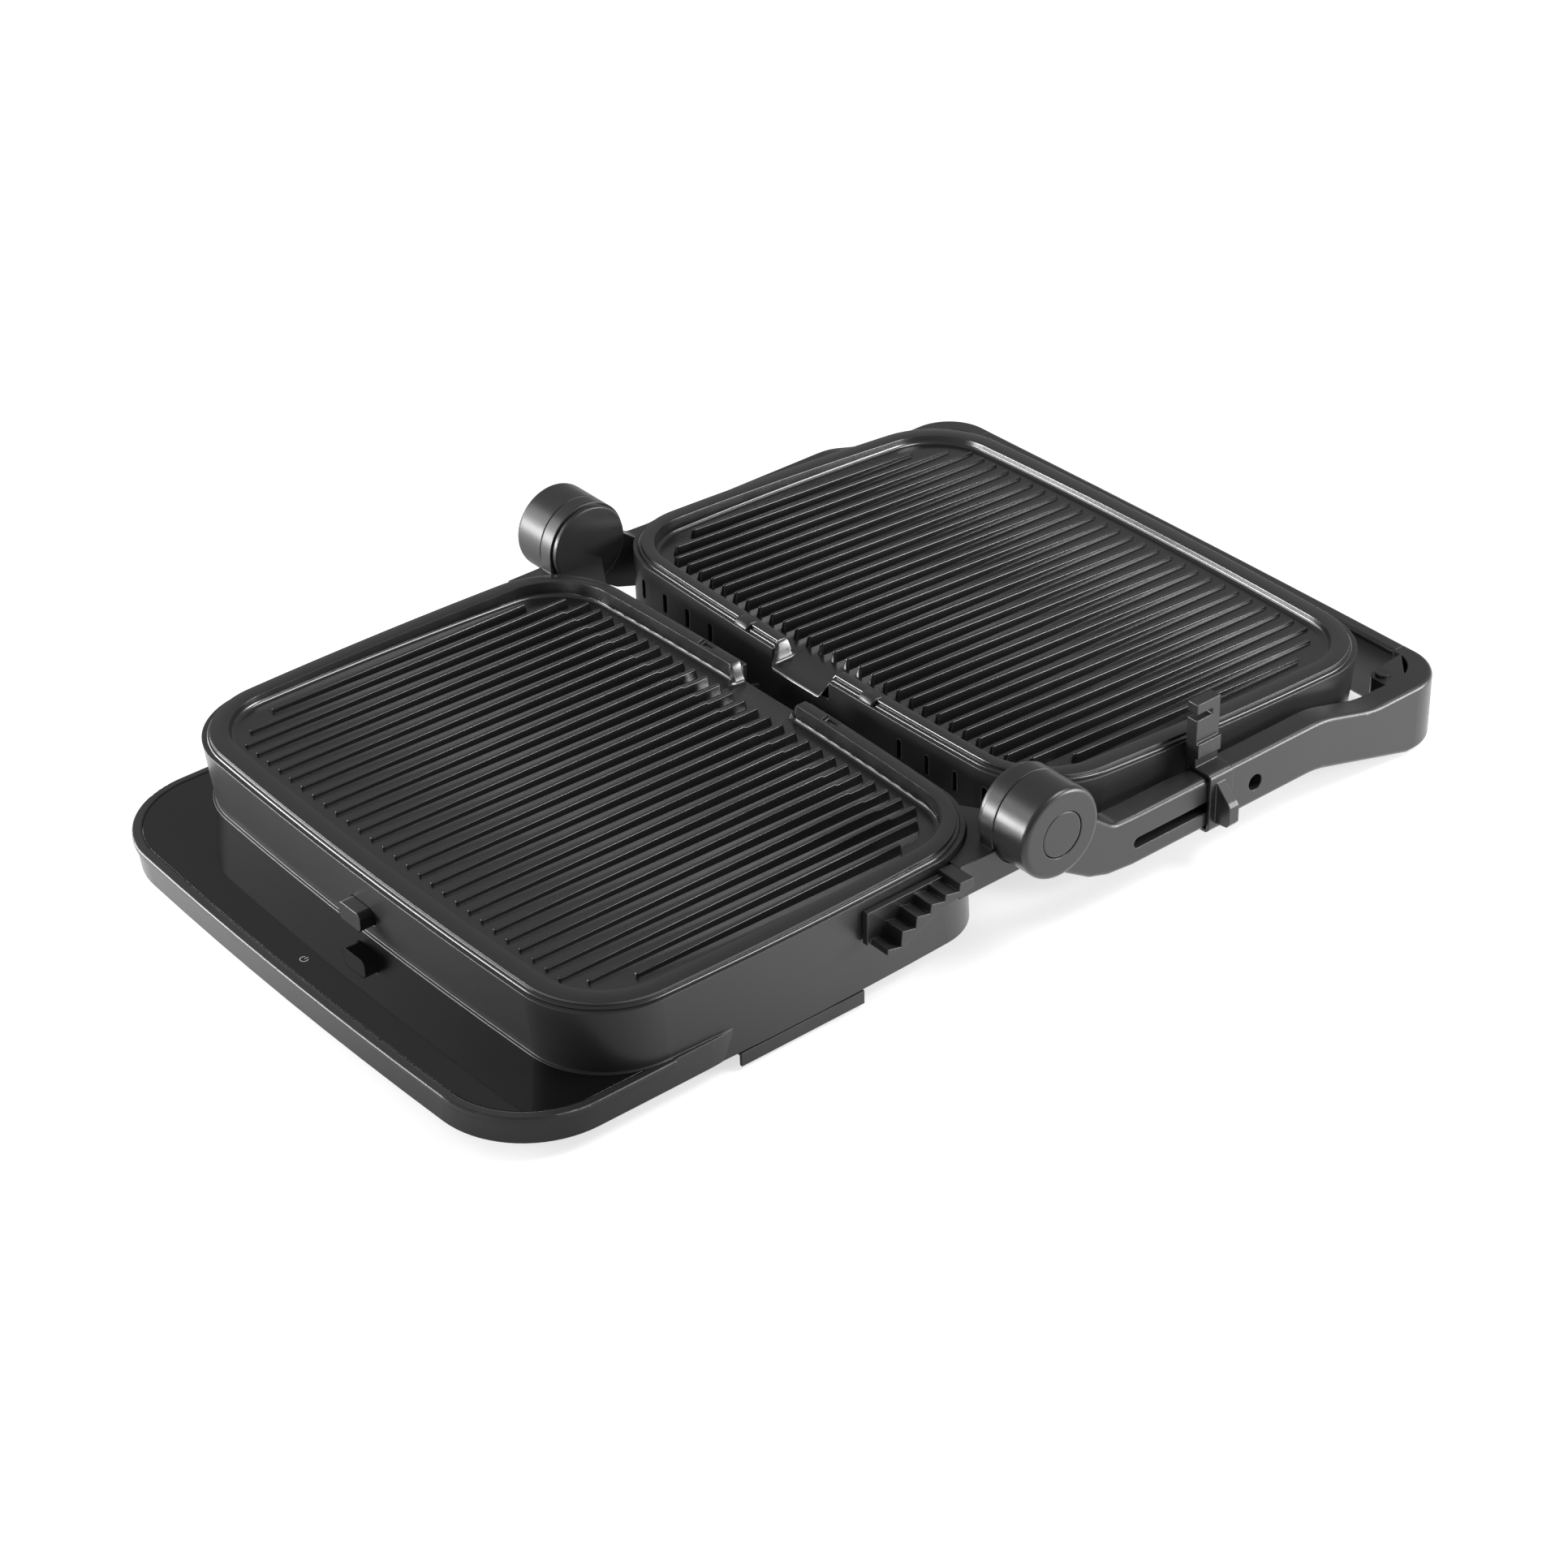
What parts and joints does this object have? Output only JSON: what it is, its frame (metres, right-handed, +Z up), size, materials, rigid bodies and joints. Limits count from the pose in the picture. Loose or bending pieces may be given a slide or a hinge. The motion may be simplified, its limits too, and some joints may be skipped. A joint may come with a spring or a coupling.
{
  "type": "contact grill",
  "caption": "Electric contact grill lying flat open: ribbed lower plate with glass control deck, and a floating lid with a ribbed plate on a hinged carrying frame.",
  "frame": {"origin": "centre of the grill's bounding box on the table, under the hinge gap between the two plates, with the grill lying flat open", "axes": "+X towards the grill's right side, along the hinge axis; +Y from the control deck at the front towards the lid's handle; +Z up from the table"},
  "size_m": [0.3672, 0.5374, 0.0833],
  "materials": {
    "housing": "satin dark grey",
    "housing_trim": "satin grey",
    "deck_glass": "black back-painted glass",
    "plate": "dark non-stick coating, satin",
    "catch_metal": "bright plated",
    "steel": "plain",
    "bush": "plain",
    "rubber": "matte",
    "element": "heat darkened",
    "ceramic": "cream",
    "board": "circuit board green",
    "tray": "satin black"
  },
  "bodies": {
    "base": {"base_shell": "housing", "deck_bezel": "housing_trim", "control_deck_glass": "deck_glass", "bottom_cover": "housing", "feet": "rubber", "bottom_screws": "steel", "lower_plate": "plate", "lower_plate_catches": "catch_metal", "lower_reflector": "steel", "lower_heating_element": "element", "lower_thermostat": "ceramic", "right_hinge_bracket": "housing", "left_hinge_bracket": "housing", "hinge_pins": "steel", "stair_block": "housing", "drain_chute": "tray", "touch_board": "board", "power_board": "board", "cable_gland": "rubber"},
    "tray": {"drip_tray": "tray"},
    "lid_frame": {"right_arm": "housing_trim", "left_arm": "housing_trim", "handle_grip": "housing_trim", "handle_screws": "steel", "hinge_bushes": "bush"},
    "hinge_release": {"hinge_release_button": "housing_trim"},
    "clip": {"height_clip": "housing_trim"},
    "lid": {"upper_shell": "housing", "upper_plate": "plate", "upper_plate_catches": "catch_metal", "upper_reflector": "steel", "upper_heating_element": "element", "upper_thermostat": "ceramic", "lid_pivots": "steel"},
    "lower_release": {"lower_release_button": "housing_trim"},
    "upper_release": {"upper_release_button": "housing_trim"}
  },
  "joints": [
    {"name": "lid_frame_hinge", "type": "hinge", "parent": "base", "child": "lid_frame", "pos_m": [0, 0.0112, 0.0615], "axis": [1, 0, 0], "range_deg": [0, 183.14]},
    {"name": "lid_float", "type": "hinge", "parent": "lid_frame", "child": "lid", "pos_m": [0, 0.1362, 0.0308], "axis": [-1, 0, 0], "range_deg": [-6, 0]},
    {"name": "clip_slide", "type": "slide", "parent": "lid_frame", "child": "clip", "axis": [0, 1, 0], "range_m": [-0.042, 0]},
    {"name": "lower_release_push", "type": "slide", "parent": "base", "child": "lower_release", "axis": [0, 1, 0], "range_m": [0, 0.003], "stiffness_N_per_m": 400, "springref_m": -0.002},
    {"name": "upper_release_push", "type": "slide", "parent": "lid", "child": "upper_release", "axis": [0, -0.9985, 0.0548], "range_m": [0, 0.003], "stiffness_N_per_m": 400, "springref_m": -0.002},
    {"name": "hinge_release_push", "type": "slide", "parent": "lid_frame", "child": "hinge_release", "axis": [-1, 0, 0], "range_m": [0, 0.0025], "stiffness_N_per_m": 400, "springref_m": -0.002},
    {"name": "tray_slide", "type": "slide", "parent": "base", "child": "tray", "axis": [1, 0, 0], "range_m": [0, 0.14]}
  ]
}
